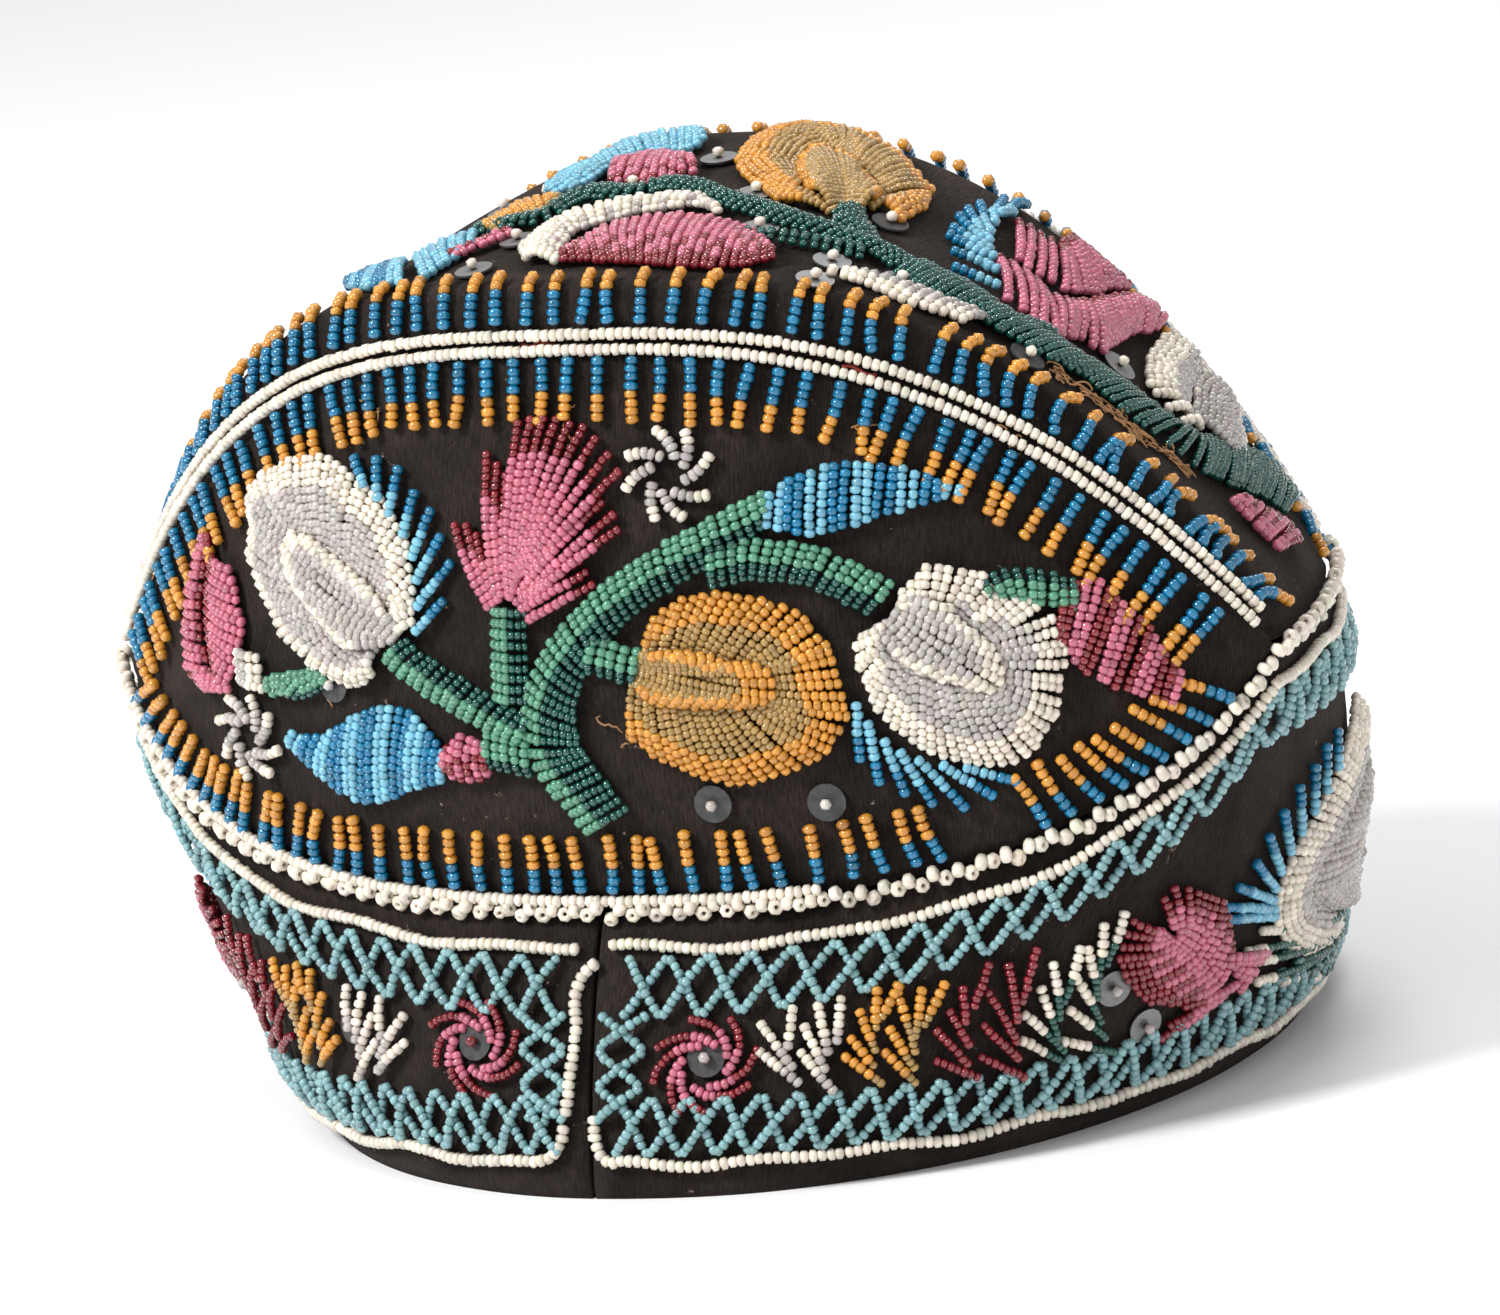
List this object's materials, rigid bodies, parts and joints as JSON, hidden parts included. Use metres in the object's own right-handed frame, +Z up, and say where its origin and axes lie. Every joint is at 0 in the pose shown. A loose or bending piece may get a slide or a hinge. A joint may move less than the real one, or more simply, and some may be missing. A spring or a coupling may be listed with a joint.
{
  "type": "beaded cap",
  "caption": "Velvet cap with a turned-up lens-shaped front, a domed top and raised floral glass beadwork on every panel.",
  "frame": {"origin": "middle of the cap on the surface that its rim rests on", "axes": "+Z up from the rim to the top, -Y towards the front panel, +X to the right of a person who looks at the front"},
  "size_m": [0.216, 0.1834, 0.1536],
  "materials": {
    "velvet": "dark brown-black cotton velvet, short matted pile",
    "white_beads": "opaque ivory white glass seed beads",
    "opal_beads": "milky translucent glass seed beads",
    "blue_beads": "opaque medium blue glass seed beads",
    "pale_blue_beads": "opaque pale blue glass seed beads",
    "teal_beads": "opaque pale teal glass seed beads",
    "amber_beads": "opaque amber glass seed beads, some clear gold",
    "pink_beads": "opaque rose pink glass seed beads",
    "dark_red_beads": "clear dark red glass seed beads",
    "green_beads": "green glass seed beads, some dark teal",
    "sequin": "thin smoke grey disc, slightly see-through"
  },
  "bodies": {
    "root": {"side_band": "velvet", "front_panel": "velvet", "top_panel": "velvet", "back_panel": "velvet", "front_panel_line": "white_beads", "back_panel_line": "white_beads", "top_panel_front_line": "white_beads", "top_panel_rear_line": "white_beads", "band_upper_line": "white_beads", "band_lower_line": "white_beads", "crown_edging": "white_beads", "front_white_flower_left": "opal_beads", "front_blue_calyx_left": "blue_beads", "front_pink_side_flower": "pink_beads", "front_tulip": "pink_beads", "front_gold_flower": "amber_beads", "front_white_flower_right": "opal_beads", "front_blue_leaf_upper": "pale_blue_beads", "front_blue_leaf_lower": "pale_blue_beads", "front_pink_leaf": "pink_beads", "front_berry": "dark_red_beads", "top_gold_flower": "amber_beads", "top_pink_flower": "pink_beads", "top_tulip": "pink_beads", "top_white_flower": "opal_beads", "top_blue_leaf": "pale_blue_beads", "top_gold_flower_left": "amber_beads", "band_white_flower_right": "opal_beads", "band_white_flower_left": "opal_beads", "band_pink_flower_right": "pink_beads", "band_pink_flower_left": "pink_beads", "front_main_stem": "green_beads", "front_left_branch": "green_beads", "front_right_branch": "green_beads", "top_main_stem": "green_beads", "sequin_1": "sequin", "sequin_2": "sequin", "sequin_3": "sequin", "sequin_4": "sequin", "sequin_5": "sequin", "sequin_6": "sequin", "sequin_7": "sequin", "sequin_8": "sequin"}
  },
  "joints": []
}
